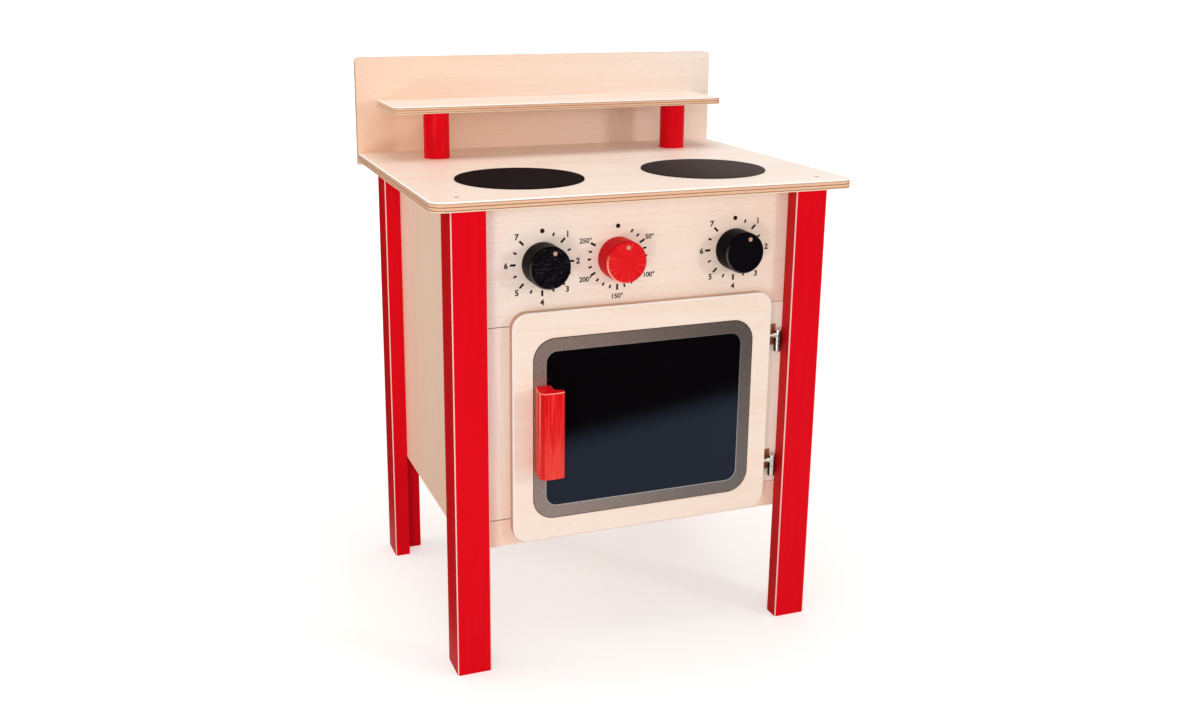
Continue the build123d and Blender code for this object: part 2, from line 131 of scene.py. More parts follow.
def grained(tree, vector, along, scales, offset=(0, 0, 0), **settings):
    # Noise drawn out along one axis, from the scale along it and the scale across it.
    stretch = [scales[1]] * 3
    stretch[along] = scales[0]
    return noise(tree, stretched(tree, vector, stretch, offset), **settings)


def bumped(tree, height, strength, distance):
    inputs = {"Height": height, "Strength": strength, "Distance": distance}
    return addNode(tree, "ShaderNodeBump", inputs).outputs["Normal"]


def startMaterial(name):
    # A new material with its tree, its shader, and where each point is and which way it faces.
    material = bpy.data.materials.new(name)
    material.use_nodes = True
    tree = material.node_tree
    return material, tree, tree.nodes["Principled BSDF"], addNode(tree, "ShaderNodeTexCoord").outputs


def parted(tree, vector):
    return list(addNode(tree, "ShaderNodeSeparateXYZ", {"Vector": vector}).outputs)


def finishShader(shader, colour, roughness, normal=None, **steady):
    wire(shader.id_data, colour, shader.inputs["Base Color"])
    wire(shader.id_data, roughness, shader.inputs["Roughness"])
    if normal is not None:
        wire(shader.id_data, normal, shader.inputs["Normal"])
    for name, value in steady.items():
        shader.inputs[name.replace("_", " ")].default_value = value


def facingAlong(tree, component, low, high):
    # A soft step in how squarely the surface faces along an axis, either way.
    return smoothStep(tree, maths(tree, "ABSOLUTE", component), low, high)


def roundedEdge(tree, component, low, high):
    # Full on a rounded edge whose surface leans halfway between an axis and the plane across it.
    square = times(tree, component, component)
    lean = maths(tree, "SQRT", times(tree, square, maths(tree, "SUBTRACT", 1.0, square, clamp=True)))
    return smoothStep(tree, times(tree, lean, 2.0), low, high)


def dress(material, *names):
    for name in names:
        slots = nodes[name].data.materials
        if not slots:
            slots.append(material)
        for number in range(len(slots)):
            slots[number] = material


# Clear-lacquered birch plywood: pale rotary-cut faces, and edges that show the plies.
# A grain is a noise's scale along one axis and its scale along the other two. A range is where a soft
# step begins and ends, in a noise's level or in how squarely the surface faces.
birch = {
    "face": paint(250, 238, 229),
    "faceDeep": paint(245, 227, 213),
    "deepRange": (0.36, 0.66),
    "broadGrain": (3.0, 16.0),
    "streakGrain": (9.0, 260.0),
    "broadShare": 0.62,
    # the warmer tone: partly the wood's own honey tone, partly painted shade
    "warm": paint(250, 202, 166),
    "fleck": paint(219, 183, 154),
    "fleckGrain": (70.0, 900.0),
    "fleckRange": (0.60, 0.74),
    "fleckShare": 0.35,
    "edgePale": paint(250, 226, 200),
    "edgeTan": paint(236, 190, 156),
    "edgeDark": paint(126, 70, 50),
    "plies": (                  # where each ply starts, as a share of the thickness
        (0.0, "edgePale"), (0.11, "edgeDark"), (0.20, "edgeTan"), (0.45, "edgeDark"),
        (0.54, "edgeTan"), (0.80, "edgeDark"), (0.89, "edgePale"),
    ),
    "plyGrain": (700.0, 180.0),
    "plyBlur": 0.35,            # how far the fibres even out the plies
    "faceRange": (0.80, 0.97),
    # painted highlight: a near-white line along the rounded rims of every sheet
    "rim": paint(255, 253, 250),
    "rimRange": (0.35, 0.8),
    "rimHighlightShare": 0.95,
    "seam": paint(58, 36, 24),
    "seamWidth": 0.0008,
    "slot": paint(160, 98, 64),         # painted shade: dark slots in the right stile, beside the hinges, drawn as tone only
    "slotHeight": (-0.006, 0.018),      # from a hinge's split
    "slotLap": 0.002,           # how far a slot runs in behind the door's edge
    "slotEdge": 0.0008,
    "stilePale": paint(255, 252, 238),  # painted light: the right stile's sheet is made the palest, lifting the shade between the door and the right leg
    "stileLitShare": 0.85,
    "shelfShade": 0.25,          # painted shade: how much warmer the backboard is made under the shelf, where the shelf shades it
    "shelfShadeEdge": 0.01,
    "roughness": (0.34, 0.46),
    "relief": (0.12, 0.0004),   # the bump's strength and distance
    "gloss": 0.35,
}
# Each sheet has the axis through its plies, the axis of its face grain, and how far it is drawn towards the
# warmer tone
# where that grain begins and ends: partly the wood's own honey tone, partly painted shade, warmer where a
# sheet lies in shade and paler where the light is whiter.
birchSheets = {
    "worktop": (upAxis, sideAxis, (0.26, 0.0)),
    "shelf": (upAxis, sideAxis, (0.15, 0.0)),
    "backboard": (depthAxis, sideAxis, (0.62, 0.0)),
    "control_panel": (depthAxis, sideAxis, (0.0, 0.26)),
    "left_stile": (depthAxis, upAxis, (0.36, -0.36)),
    "right_stile": (depthAxis, upAxis, (0.0, 0.0)),
    "bottom_rail": (depthAxis, sideAxis, (0.5, 0.36)),
    "left_side_panel": (sideAxis, upAxis, (0.60, 0.46)),
    "right_side_panel": (sideAxis, upAxis, (0.60, 0.46)),
    "back_panel": (depthAxis, upAxis, (0.6, 0.6)),
    "oven_floor": (upAxis, sideAxis, (0.6, 0.6)),
    "oven_ceiling": (upAxis, sideAxis, (0.6, 0.6)),
    "door_panel": (depthAxis, sideAxis, (0.18, 0.18)),
}


def frameSeams(tree, face, place):
    # Fine dark lines where the stiles meet the control panel and the bottom rail.
    bottom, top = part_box("left_stile")
    for level in (top.z, bottom.z):
        line = smoothStep(tree, gapTo(tree, place[upAxis], level), birch["seamWidth"], 0.0)
        face = mixColour(tree, line, face, birch["seam"])
    return face


def hingeSlots(tree, face, place):
    # Paints shade on the face where a slot lies between the door's edge and a hinge's barrel.
    edge = birch["slotEdge"]
    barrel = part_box("upper_hinge_pin")
    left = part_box("door_panel")[1].x - birch["slotLap"]
    right = (barrel[0].x + barrel[1].x) / 2
    across = between(tree, place[sideAxis], (left - edge, left + edge), (right + edge, right - edge))
    for hinge in ("upper", "lower"):
        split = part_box(hinge + "_hinge_leg_half")[1].z
        low, high = (split + height for height in birch["slotHeight"])
        upright = between(tree, place[upAxis], (low - edge, low + edge), (high + edge, high - edge))
        face = mixColour(tree, times(tree, upright, across), face, birch["slot"])
    return face


def hingeStile(tree, face, place):
    face = frameSeams(tree, face, place)
    # Painted light: the right stile's sheet is drawn paler.
    face = mixColour(tree, birch["stileLitShare"], face, birch["stilePale"])
    return hingeSlots(tree, face, place)


def underShelf(tree, face, place):
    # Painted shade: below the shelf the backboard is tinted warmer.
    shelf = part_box("shelf")[0].z
    shelfShade = smoothStep(tree, place[upAxis], shelf, shelf - birch["shelfShadeEdge"])
    return mixColour(tree, times(tree, shelfShade, birch["shelfShade"]), face, birch["warm"])


def birchPlywood(node, marks):
    words = node.split("_")
    material, tree, shader, source = startMaterial("birch" + "".join(word.capitalize() for word in words))
    place = parted(tree, source["Object"])
    facing = parted(tree, source["Normal"])
    across, along, toneAndShadeEnds = birchSheets[node]
    low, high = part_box(node)
    broad = grained(tree, source["Object"], along, birch["broadGrain"], distortion=0.8)
    streak = grained(tree, source["Object"], along, birch["streakGrain"], detail=4.0)
    pores = grained(tree, source["Object"], along, birch["fleckGrain"], detail=2.0)
    deepening = smoothStep(tree, blended(tree, broad, streak, birch["broadShare"]), *birch["deepRange"])
    face = mixColour(tree, deepening, birch["face"], birch["faceDeep"])
    # Partly painted shade: each sheet drifts towards the warmer tone along its grain.
    toneAndShade = rescale(tree, place[along], *toneAndShadeEnds, low[along], high[along])
    face = mixColour(tree, toneAndShade, face, birch["warm"])
    flecks = times(tree, smoothStep(tree, pores, *birch["fleckRange"]), birch["fleckShare"])
    face = mixColour(tree, flecks, face, birch["fleck"])
    if marks:
        face = marks(tree, face, place)
    depth = rescale(tree, place[across], 0.0, 1.0, low[across], high[across])
    plies = colourRamp(tree, depth, [(start, birch[tint]) for start, tint in birch["plies"]], "CONSTANT")
    fibres = grained(tree, source["Object"], across, birch["plyGrain"], detail=2.0)
    plies = mixColour(tree, rescale(tree, fibres, 0.0, birch["plyBlur"]), plies, birch["edgeTan"])
    colour = mixColour(tree, facingAlong(tree, facing[across], *birch["faceRange"]), plies, face)
    # Painted highlight along the rounded rims.
    rim = times(tree, roundedEdge(tree, facing[across], *birch["rimRange"]), birch["rimHighlightShare"])
    colour = mixColour(tree, rim, colour, birch["rim"])
    finishShader(shader, colour, rescale(tree, streak, *birch["roughness"]),
                 bumped(tree, streak, *birch["relief"]), Specular_IOR_Level=birch["gloss"])
    return material


def dressPlywood():
    marks = {"control_panel": frameSeams, "left_stile": frameSeams, "bottom_rail": frameSeams,
             "right_stile": hingeStile, "backboard": underShelf}
    for node in birchSheets:
        dress(birchPlywood(node, marks.get(node)), node)


# Red gloss lacquer on the legs and posts, with a pale line along the legs' rounded edges
redLacquer = {
    "coat": paint(226, 8, 27),
    "coatDeep": paint(222, 7, 25),
    "coatGrain": (8.0, 130.0),
    "deepRange": (0.35, 0.7),
    "sideShade": paint(202, 21, 27),     # painted shade: the faces that look sideways take a deeper red
    "sideShadeRange": (0.9, 0.99),
    "joint": paint(120, 8, 14),
    "jointWidth": 0.0005,
    "paleEdge": paint(255, 228, 220),
    "paleEdgeRange": (0.3, 0.8),
    "paleEdgeGrain": (14.0, 50.0),
    "paleEdgeShare": (0.7, 1.0),
    "peelScale": 420.0,
    "roughness": (0.20, 0.30),
    "relief": (0.05, 0.0003),
    "gloss": 0.05,
}


def legEdges(tree, colour, source):
    # On the legs: painted shade deepening the faces that look sideways, the joint between two boards, and a
    # pale line along the rounded edges.
    place = parted(tree, source["Object"])
    facing = parted(tree, source["Normal"])
    # Painted shade: the faces that look sideways are drawn a deeper red.
    sideways = facingAlong(tree, facing[sideAxis], *redLacquer["sideShadeRange"])
    colour = mixColour(tree, sideways, colour, redLacquer["sideShade"])
    for level in (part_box("front_left_leg_face")[1].y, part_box("rear_left_leg_face")[0].y):
        line = smoothStep(tree, gapTo(tree, place[depthAxis], level), redLacquer["jointWidth"], 0.0)
        colour = mixColour(tree, times(tree, line, sideways), colour, redLacquer["joint"])
    patchy = grained(tree, source["Object"], upAxis, redLacquer["paleEdgeGrain"])
    patchy = rescale(tree, patchy, *redLacquer["paleEdgeShare"])
    paleEdgeLine = times(tree, roundedEdge(tree, facing[sideAxis], *redLacquer["paleEdgeRange"]), patchy)
    return mixColour(tree, paleEdgeLine, colour, redLacquer["paleEdge"])


def lacquer(name, isLeg):
    material, tree, shader, source = startMaterial(name)
    streak = grained(tree, source["Object"], upAxis, redLacquer["coatGrain"])
    peel = noise(tree, source["Object"], scale=redLacquer["peelScale"], detail=2.0)
    deepening = smoothStep(tree, streak, *redLacquer["deepRange"])
    colour = mixColour(tree, deepening, redLacquer["coat"], redLacquer["coatDeep"])
    if isLeg:
        colour = legEdges(tree, colour, source)
    finishShader(shader, colour, rescale(tree, peel, *redLacquer["roughness"]),
                 bumped(tree, peel, *redLacquer["relief"]), Specular_IOR_Level=redLacquer["gloss"])
    return material


def dressRedParts():
    legBoards = [name for name in nodes if "_leg_face" in name or "_leg_side" in name]
    dress(lacquer("redLacquerLegs", True), *legBoards)
    dress(lacquer("redLacquerPosts", False), "left_shelf_post", "right_shelf_post")


# The stains of the handle and the knobs: plain, in the deep grain, light, and pale along rims and corners
stain = {
    "red": {"plain": paint(226, 30, 36), "deep": paint(212, 8, 20), "light": paint(250, 104, 88),
            "bare": paint(255, 178, 152)},
    "black": {"plain": paint(13, 10, 15), "deep": paint(5, 2, 5), "light": paint(84, 82, 92),
              "bare": paint(112, 106, 108)},
}

# The red handle, with upright grain
handle = {
    "plain": paint(226, 22, 33),
    "light": paint(236, 52, 46),
    "grainStops": (0.44, 0.50, 0.60),   # the noise's levels of the deep, the plain and the light stain
    "broadGrain": (18.0, 620.0),
    "fineGrain": (36.0, 1700.0),
    "broadShare": 0.65,
    "footSheenShare": 0.36,          # painted sheen: how much paler the handle is made towards its foot
    "footSheenGrain": (40.0, 300.0),
    "footSheenOffset": (3, 5, 1),    # sets the patches of the painted sheen apart from the grain
    "footSheenRange": (0.7, 1.5),
    "roundRise": (0.2, 0.5),    # the rounding at its left, by how far the surface leans that way
    "roundFall": (0.90, 0.80),
    "roundShare": 0.7,
    "end": paint(255, 8, 26),   # the end grain
    "endRange": (0.9, 0.99),
    "endShare": 0.8,
    "cornerRise": (0.86, 0.92),         # the corner beside the rounding, paler towards the top
    "cornerFall": (0.995, 0.975),
    "cornerPale": 0.75,
    "rimRange": (0.4, 0.85),
    "roughness": (0.36, 0.5),
    "relief": (0.25, 0.0005),
    "gloss": 0.06,
}


def stainedHandle():
    material, tree, shader, source = startMaterial("redStainHandle")
    place = parted(tree, source["Object"])
    facing = parted(tree, source["Normal"])
    low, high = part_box("door_handle")
    red = stain["red"]
    broad = grained(tree, source["Object"], upAxis, handle["broadGrain"], distortion=0.3)
    fine = grained(tree, source["Object"], upAxis, handle["fineGrain"])
    grain = blended(tree, broad, fine, handle["broadShare"])
    shades = (red["deep"], handle["plain"], handle["light"])
    colour = colourRamp(tree, grain, list(zip(handle["grainStops"], shades)))
    # Painted sheen: the handle turns paler towards its foot, in patches.
    patches = grained(tree, source["Object"], upAxis, handle["footSheenGrain"], handle["footSheenOffset"],
                      detail=2.0)
    footward = smoothStep(tree, place[upAxis], high.z, low.z)
    footSheen = smoothStep(tree, maths(tree, "ADD", footward, patches), *handle["footSheenRange"])
    colour = mixColour(tree, times(tree, footSheen, handle["footSheenShare"]), colour, red["light"])
    leftward = times(tree, facing[sideAxis], -1.0)
    rounding = between(tree, leftward, handle["roundRise"], handle["roundFall"])
    colour = mixColour(tree, times(tree, rounding, handle["roundShare"]), colour, red["deep"])
    endGrain = facingAlong(tree, facing[upAxis], *handle["endRange"])
    colour = mixColour(tree, times(tree, endGrain, handle["endShare"]), colour, handle["end"])
    corner = between(tree, leftward, handle["cornerRise"], handle["cornerFall"])
    corner = times(tree, corner, smoothStep(tree, place[upAxis], low.z, high.z))
    corner = times(tree, corner, handle["cornerPale"])
    bare = maths(tree, "MAXIMUM", roundedEdge(tree, facing[upAxis], *handle["rimRange"]), corner)
    colour = mixColour(tree, bare, colour, red["bare"])
    finishShader(shader, colour, rescale(tree, fine, *handle["roughness"]),
                 bumped(tree, grain, *handle["relief"]), Specular_IOR_Level=handle["gloss"])
    return material


# The turned knobs: grain radiates from the middle of the face, with fine turning marks across it
turning = {
    "spokeScale": 9.0,
    "deepRange": (0.3, 0.5),
    "streakRange": (0.55, 0.70),
    "plainMiddle": 0.004,       # the radius inside which no streak shows
    "scratchScales": (120, 60, 1400),
    "scratchOffset": (3, 1, 5),
    "scratchRange": (0.58, 0.74),
    "crossScales": (900, 60, 420),
    "crossOffset": (7, 2, 1),
    "crossRange": (0.62, 0.78),
    "frontRange": (0.85, 0.98),
    "sideStreaks": 0.15,        # how much of the streaks shows round the side
    "sideDeep": 0.8,            # and how much of the deep stain
    "rimRange": (0.45, 0.9),
    "glintSide": (-0.77, 0.0, -0.64),    # the side of the rim that takes a painted highlight
    "glintRange": (0.3, 0.95),
    "roughness": (0.3, 0.46),
    "relief": (0.1, 0.0002),
    "gloss": 0.02,
}
knobs = {
    "left_knob": {"finish": "blackStainLeftKnob", "stain": "black", "scratched": 0.75, "streaked": 0.03,
                  "rimGlint": 0.6},
    "right_knob": {"finish": "blackStainRightKnob", "stain": "black", "scratched": 0.0, "streaked": 0.03,
                   "rimGlint": 0.6},
    "middle_knob": {"finish": "redStainMiddleKnob", "stain": "red", "scratched": 0.1, "streaked": 0.75,
                    "rimGlint": 0.9},
}


def stainedKnob(node, knob):
    shades = stain[knob["stain"]]
    material, tree, shader, source = startMaterial(knob["finish"])
    facing = parted(tree, source["Normal"])
    low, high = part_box(node)
    centre = (low + high) / 2
    offset = stretched(tree, source["Object"], (1, 1, 1), (-centre.x, 0, -centre.z))
    flat = vectorMaths(tree, "MULTIPLY", offset, (1, 0, 1))["Vector"]
    ray = vectorMaths(tree, "NORMALIZE", flat)["Vector"]
    radius = vectorMaths(tree, "LENGTH", flat)["Value"]
    toward = vectorMaths(tree, "DOT_PRODUCT", ray, turning["glintSide"])["Value"]
    front = facingAlong(tree, facing[depthAxis], *turning["frontRange"])
    spokes = noise(tree, ray, scale=turning["spokeScale"], detail=4.0, roughness=0.7)
    plain = smoothStep(tree, spokes, *turning["deepRange"])
    colour = mixColour(tree, plain, shades["deep"], shades["plain"])
    colour = mixColour(tree, rescale(tree, front, turning["sideDeep"], 0.0), colour, shades["deep"])
    outward = smoothStep(tree, radius, turning["plainMiddle"], (high.x - low.x) / 2)
    streaks = times(tree, smoothStep(tree, spokes, *turning["streakRange"]), outward)
    streaks = times(tree, streaks, rescale(tree, front, turning["sideStreaks"], 1.0))
    colour = mixColour(tree, times(tree, streaks, knob["streaked"]), colour, shades["light"])
    turned = stretched(tree, offset, turning["scratchScales"], turning["scratchOffset"])
    turned = noise(tree, turned, detail=2.0, distortion=1.2)
    crossed = stretched(tree, offset, turning["crossScales"], turning["crossOffset"])
    crossed = noise(tree, crossed, distortion=2.0)
    scratches = maths(tree, "MAXIMUM", smoothStep(tree, turned, *turning["scratchRange"]),
                      smoothStep(tree, crossed, *turning["crossRange"]))
    scratched = times(tree, times(tree, scratches, knob["scratched"]), front)
    colour = mixColour(tree, scratched, colour, shades["light"])
    # Painted highlight: the rim turns pale on the side given by glintSide.
    rim = times(tree, roundedEdge(tree, facing[depthAxis], *turning["rimRange"]),
                smoothStep(tree, toward, *turning["glintRange"]))
    colour = mixColour(tree, times(tree, rim, knob["rimGlint"]), colour, shades["bare"])
    finishShader(shader, colour, rescale(tree, spokes, *turning["roughness"]),
                 bumped(tree, scratches, *turning["relief"]), Specular_IOR_Level=turning["gloss"])
    return material


def dressStained():
    dress(stainedHandle(), "door_handle")
    for node, knob in knobs.items():
        dress(stainedKnob(node, knob), node)


# The two black hob discs
hob = {
    "plain": paint(24, 14, 16),
    "deep": paint(12, 6, 8),
    "pale": paint(78, 67, 66),
    "fade": (-0.06, 0.20),      # painted sheen: the left and right ends of a slow change to the pale tone
    "speckScale": 900.0,
    "cloudScale": 30.0,
    "speckShare": 0.7,
    "plainRange": (0.38, 0.62),
    "roughness": (0.55, 0.72),
    "relief": (0.2, 0.0002),
    "gloss": 0.01,
}


def hobLaminate():
    material, tree, shader, source = startMaterial("hobLaminate")
    place = parted(tree, source["Object"])
    specks = noise(tree, source["Object"], scale=hob["speckScale"], roughness=0.65)
    clouds = noise(tree, source["Object"], scale=hob["cloudScale"])
    tone = smoothStep(tree, blended(tree, specks, clouds, hob["speckShare"]), *hob["plainRange"])
    colour = mixColour(tree, tone, hob["deep"], hob["plain"])
    # Painted sheen: the discs turn paler towards the right.
    colour = mixColour(tree, smoothStep(tree, place[sideAxis], *hob["fade"]), colour, hob["pale"])
    finishShader(shader, colour, rescale(tree, specks, *hob["roughness"]),
                 bumped(tree, specks, *hob["relief"]), Specular_IOR_Level=hob["gloss"])
    return material


# The grey window frame, speckled, with painted shade darkening it towards its right end, a fine dark line
# along its outer border and a painted highlight along its inner border
windowFrame = {
    "plain": paint(137, 118, 110),
    "light": paint(164, 144, 136),
    "deep": paint(106, 90, 84),
    "speckScale": 1300.0,
    "speckStops": (0.34, 0.5, 0.66),    # the noise's levels of the deep, the plain and the light grey
    "cloudScale": 60.0,
    "cloudShare": 0.3,
    "shade": (0.01, 0.01, 0.01, 1.0),
    "shadeShare": 0.64,         # painted shade: how much darker the frame is at its right end
    "outline": paint(86, 62, 42),
    "outlineWidth": 0.0010,
    "outerRound": 0.024,
    # painted highlight along the inner border
    "innerGlint": paint(176, 180, 184),
    "innerWidth": 0.0009,
    "innerRound": 0.012,
    "innerGlintShare": (0.1, 0.8),   # the painted highlight's strength at the frame's top and at its bottom
    "lineFade": (0.6, 1.4),     # where a line starts to fade and where it has gone, in widths
    "roughness": (0.2, 0.34),
    "relief": (0.15, 0.0002),
    "gloss": 1.0,
    "refraction": 1.62,
}


def roundedGap(tree, place, node, radius):
    # How far a point lies outside a node's rounded outline, seen from the front; negative inside.
    low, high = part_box(node)
    total = 0.0
    for axis in (sideAxis, upAxis):
        offCentre = gapTo(tree, place[axis], (low[axis] + high[axis]) / 2)
        straight = (high[axis] - low[axis]) / 2 - radius
        beyond = maths(tree, "MAXIMUM", maths(tree, "SUBTRACT", offCentre, straight), 0.0)
        total = maths(tree, "MULTIPLY_ADD", beyond, beyond, total)
    return maths(tree, "SUBTRACT", maths(tree, "SQRT", total), radius)


def greySheet():
    material, tree, shader, source = startMaterial("greyWindowFrame")
    place = parted(tree, source["Object"])
    low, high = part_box("window_frame")
    specks = noise(tree, source["Object"], scale=windowFrame["speckScale"], detail=4.0, roughness=0.7)
    clouds = noise(tree, source["Object"], scale=windowFrame["cloudScale"], detail=4.0)
    shades = (windowFrame["deep"], windowFrame["plain"], windowFrame["light"])
    colour = colourRamp(tree, specks, list(zip(windowFrame["speckStops"], shades)))
    cloudy = rescale(tree, clouds, 0.0, windowFrame["cloudShare"])
    colour = mixColour(tree, cloudy, colour, windowFrame["deep"])
    # Painted shade: the frame darkens towards its right end.
    shaded = times(tree, smoothStep(tree, place[sideAxis], low.x, high.x), windowFrame["shadeShare"])
    colour = mixColour(tree, shaded, colour, windowFrame["shade"])
    solid, gone = windowFrame["lineFade"]
    outer = roundedGap(tree, place, "window_frame", windowFrame["outerRound"])
    width = windowFrame["outlineWidth"]
    outline = smoothStep(tree, outer, -gone * width, -solid * width)
    colour = mixColour(tree, outline, colour, windowFrame["outline"])
    inner = roundedGap(tree, place, "window_pane", windowFrame["innerRound"])
    width = windowFrame["innerWidth"]
    # Painted highlight: a pale line along the pane's border, stronger towards the bottom.
    downward = smoothStep(tree, place[upAxis], high.z, low.z)
    line = times(tree, smoothStep(tree, inner, gone * width, solid * width),
                 rescale(tree, downward, *windowFrame["innerGlintShare"]))
    colour = mixColour(tree, line, colour, windowFrame["innerGlint"])
    finishShader(shader, colour, rescale(tree, clouds, *windowFrame["roughness"]),
                 bumped(tree, specks, *windowFrame["relief"]), Specular_IOR_Level=windowFrame["gloss"],
                 IOR=windowFrame["refraction"])
    return material


# The dark window pane
pane = {
    "plain": paint(8, 6, 7),
    "haze": paint(12, 11, 14),
    "hazeScale": 18.0,
    "hazeShare": 0.5,
    "rippleScale": 9.0,
    "sheen": (0.44, 0.62, 1.0, 1.0),    # the cool tint of what the pane reflects
    "roughness": (0.02, 0.07),
    "relief": (0.02, 0.001),
    "gloss": 0.56,
}


def darkPane():
    material, tree, shader, source = startMaterial("blackWindowPane")
    haze = noise(tree, source["Object"], scale=pane["hazeScale"], detail=4.0, roughness=0.6)
    ripple = noise(tree, source["Object"], scale=pane["rippleScale"], detail=1.0)
    colour = mixColour(tree, rescale(tree, haze, 0.0, pane["hazeShare"]), pane["plain"], pane["haze"])
    finishShader(shader, colour, rescale(tree, haze, *pane["roughness"]),
                 bumped(tree, ripple, *pane["relief"]), Specular_IOR_Level=pane["gloss"],
                 Specular_Tint=pane["sheen"])
    return material


def dressSheets():
    dress(hobLaminate(), "left_hob_disc", "right_hob_disc")
    dress(greySheet(), "window_frame")
    dress(darkPane(), "window_pane")


# Metal fittings: the hinges' nickel, the screws' zinc and the catch's magnet
metals = {
    "nickel": paint(214, 208, 200),
    "nickelRoughness": (0.12, 0.24),
    "bright": (-0.39, -0.92, 0.0),      # the way the painted highlight on a hinge faces
    "reflectionRamp": [(0.0, paint(150, 140, 132)), (0.55, paint(40, 28, 26)), (0.80, paint(66, 52, 48)),
               (0.90, paint(196, 186, 178)), (0.97, paint(255, 252, 248)), (1.0, paint(226, 218, 212))],
    "uprightRange": (0.25, 0.0),
    "zinc": paint(196, 198, 200),
    "zincRoughness": (0.26, 0.42),
    "magnet": paint(150, 150, 154),
    "magnetRoughness": (0.24, 0.40),
    "dull": paint(178, 170, 162),
    "dullScale": 160.0,
    "dullRange": (0.35, 0.7),
    "scratchScales": (2600, 2600, 300),
    "relief": (0.05, 0.0001),
}


def finishMetal(tree, shader, source, colour, roughness):
    scratches = noise(tree, stretched(tree, source["Object"], metals["scratchScales"]))
    finishShader(shader, colour, rescale(tree, scratches, *roughness),
                 bumped(tree, scratches, *metals["relief"]), Metallic=1.0)


def metal(name, light, roughness):
    material, tree, shader, source = startMaterial(name)
    cloud = noise(tree, source["Object"], scale=metals["dullScale"], detail=2.0)
    colour = mixColour(tree, smoothStep(tree, cloud, *metals["dullRange"]), light, metals["dull"])
    finishMetal(tree, shader, source, colour, roughness)
    return material


def polishedBarrel():
    # Polished plating with a painted reflection on an upright barrel: a painted highlight on the side that
    # faces the front, and painted shade towards both sides.
    material, tree, shader, source = startMaterial("nickelPaintedReflection")
    facing = parted(tree, source["Normal"])
    shining = vectorMaths(tree, "DOT_PRODUCT", source["Normal"], metals["bright"])["Value"]
    upright = facingAlong(tree, facing[upAxis], *metals["uprightRange"])
    colour = mixColour(tree, upright, metals["nickel"], colourRamp(tree, shining, metals["reflectionRamp"]))
    finishMetal(tree, shader, source, colour, metals["nickelRoughness"])
    return material


# Beech dowels, axles and dots
beech = {
    "light": paint(238, 196, 160),
    "deep": paint(206, 158, 120),
    "dot": paint(206, 164, 136),        # the knobs' dots, darkened as painted shade of the holes they sit in
    "dotDeep": paint(178, 130, 104),
    "plug": paint(176, 146, 128),       # the dowels' ends in the worktop
    "plugDeep": paint(140, 110, 94),
    "plugFade": (-0.05, 0.10),          # front to back, where the ends turn as pale as the sheet
    "plugFadeShare": 0.85,
    "fibreScale": 1400.0,
    "ringScales": (260, 260, 60),
    "fibreShare": 0.5,
    "lightRange": (0.38, 0.62),
    "roughness": (0.5, 0.65),
    "relief": (0.2, 0.0002),
}


def beechDowel(name, light, deep, isFading=False):
    material, tree, shader, source = startMaterial(name)
    fibres = noise(tree, source["Object"], scale=beech["fibreScale"])
    rings = noise(tree, stretched(tree, source["Object"], beech["ringScales"]), detail=2.0, distortion=1.0)
    tone = smoothStep(tree, blended(tree, fibres, rings, beech["fibreShare"]), *beech["lightRange"])
    colour = mixColour(tree, tone, deep, light)
    if isFading:
        backward = smoothStep(tree, parted(tree, source["Object"])[depthAxis], *beech["plugFade"])
        colour = mixColour(tree, times(tree, backward, beech["plugFadeShare"]), colour, birch["faceDeep"])
    finishShader(shader, colour, rescale(tree, fibres, *beech["roughness"]),
                 bumped(tree, fibres, *beech["relief"]))
    return material


# Nylon washers behind the control panel
nylon = {
    "plain": paint(232, 230, 224),
    "cloudScale": 500.0,
    "cloudShare": 0.2,
    "roughness": (0.45, 0.6),
    "relief": (0.1, 0.0002),
}


def nylonWasher():
    material, tree, shader, source = startMaterial("nylonWasher")
    cloud = noise(tree, source["Object"], scale=nylon["cloudScale"], detail=2.0)
    colour = mixColour(tree, rescale(tree, cloud, 0.0, nylon["cloudShare"]), nylon["plain"], metals["zinc"])
    finishShader(shader, colour, rescale(tree, cloud, *nylon["roughness"]),
                 bumped(tree, cloud, *nylon["relief"]))
    return material


def dressFittings():
    finishes = [        # each with what a node's name holds; the first that fits is taken
        (polishedBarrel(), ("_hinge_",)),
        (metal("zincPlate", metals["zinc"], metals["zincRoughness"]), ("screw", "catch_plate")),
        (metal("magnetPlate", metals["magnet"], metals["magnetRoughness"]), ("catch_magnet",)),
        (beechDowel("greyedPlug", beech["plug"], beech["plugDeep"], isFading=True), ("worktop_dowels",)),
        (beechDowel("beechDotShaded", beech["dot"], beech["dotDeep"]), ("_dot",)),
        (beechDowel("beechDowel", beech["light"], beech["deep"]), ("dowels", "_axle")),
        (nylonWasher(), ("_washer",)),
    ]
    for name in nodes:
        fitting = [finish for finish, parts in finishes if any(part in name for part in parts)]
        if fitting:
            dress(fitting[0], name)


dressPlywood()
dressRedParts()
dressStained()
dressSheets()
dressFittings()
print("toy oven: every node has its finish")


# Printed scales round the knobs: ticks, a zero dot and numbers
dial = {
    "ink": paint(14, 11, 13),
    "gritScale": 2500.0,
    "gritShare": 0.12,          # how far the ink's grit pales it
    "roughness": (0.5, 0.65),
    "relief": (0.1, 0.0001),
    "gloss": 0.1,
    "printDepth": 0.00012,
    "sunk": 0.00002,            # how far the print goes into the panel
    "markRadius": 0.0312,       # to the middle of each tick
    "longTick": (0.0023, 0.0062),
    "shortTick": (0.0020, 0.0037),
    "zeroDotRadius": 0.0331,
    "zeroDotSize": 0.0048,
    "dotSides": 24,
    "figureSteps": 6,
}
